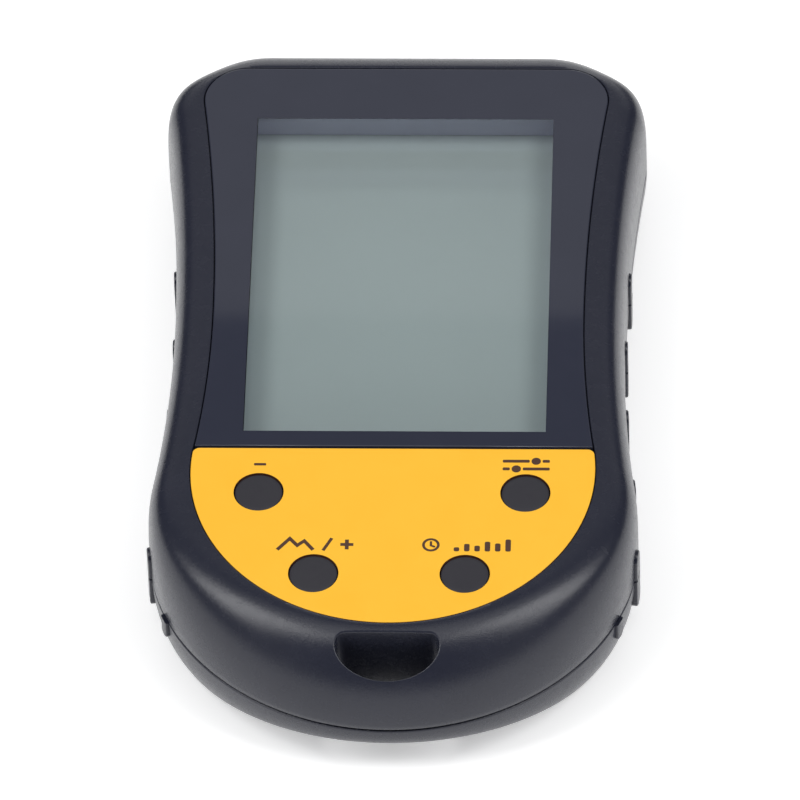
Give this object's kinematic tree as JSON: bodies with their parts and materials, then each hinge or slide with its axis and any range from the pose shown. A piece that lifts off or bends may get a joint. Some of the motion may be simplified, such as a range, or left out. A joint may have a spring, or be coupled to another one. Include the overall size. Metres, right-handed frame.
{
  "type": "handheld gps unit",
  "caption": "Pocket outdoor navigator in a waisted two-part case, with a large flush display window, a D-shaped key panel, round keys, side grip ribs, a lanyard slot and a battery door.",
  "frame": {"origin": "on the flat back that the unit rests on, on its centre line and 58 mm from the lanyard end", "axes": "+X to the right of a person reading the screen, +Y from the lanyard slot towards the far end, +Z out of the screen"},
  "size_m": [0.0652, 0.1146, 0.0208],
  "materials": {
    "shell": "fine matte moulded ABS, blue-black",
    "window": "clear polished acrylic",
    "tape": "black printed border and adhesive frame",
    "panel": "satin yellow overlay",
    "key": "matte dark grey moulded key",
    "screen": "grey-green unlit liquid crystal glass",
    "film": "white diffusing film",
    "rubber": "silicone rubber",
    "board": "green solder mask on glass-fibre board",
    "switch": "stamped steel switch cover",
    "chip": "black moulded package",
    "steel": "nickel-plated steel",
    "ceramic": "fired dielectric ceramic",
    "cell": "printed sleeve over a metal can",
    "screw": "blackened steel"
  },
  "bodies": {
    "case": {"front_shell": "shell", "rear_shell": "shell", "display_window": "window", "window_tape": "tape", "key_panel": "panel", "keypad_mat": "rubber", "zebra_strip_near": "rubber", "zebra_strip_far": "rubber", "key_board": "board", "main_board": "board", "switch_minus": "switch", "switch_set": "switch", "switch_plus": "switch", "switch_history": "switch", "lcd_panel": "screen", "backlight_panel": "film", "vent_membrane": "film", "processor": "chip", "memory_chip": "chip", "compass_sensor": "chip", "buzzer": "chip", "gps_receiver": "steel", "clock_crystal": "steel", "pressure_sensor": "steel", "contact_spring_near": "steel", "contact_spring_far": "steel", "contact_plate_near": "steel", "contact_plate_far": "steel", "gps_antenna": "ceramic", "battery_near": "cell", "battery_far": "cell", "case_screw_1": "screw", "case_screw_2": "screw", "case_screw_3": "screw", "case_screw_4": "screw", "board_screw_left": "screw", "board_screw_right": "screw"},
    "key_minus": {"key_minus": "key"},
    "key_set": {"key_set": "key"},
    "key_plus": {"key_plus": "key"},
    "key_history": {"key_history": "key"},
    "battery_door": {"battery_door": "shell"}
  },
  "joints": [
    {"name": "key_minus_press", "type": "slide", "parent": "case", "child": "key_minus", "axis": [0, 0, -1], "range_m": [0, 0.0005], "stiffness_N_per_m": 800},
    {"name": "key_set_press", "type": "slide", "parent": "case", "child": "key_set", "axis": [0, 0, -1], "range_m": [0, 0.0005], "stiffness_N_per_m": 800},
    {"name": "key_plus_press", "type": "slide", "parent": "case", "child": "key_plus", "axis": [0, 0, -1], "range_m": [0, 0.0005], "stiffness_N_per_m": 800},
    {"name": "key_history_press", "type": "slide", "parent": "case", "child": "key_history", "axis": [0, 0, -1], "range_m": [0, 0.0005], "stiffness_N_per_m": 800},
    {"name": "battery_door_hinge", "type": "hinge", "parent": "case", "child": "battery_door", "pos_m": [0, -0.0158, 0.001], "axis": [1, 0, 0], "range_deg": [0, 75]}
  ]
}
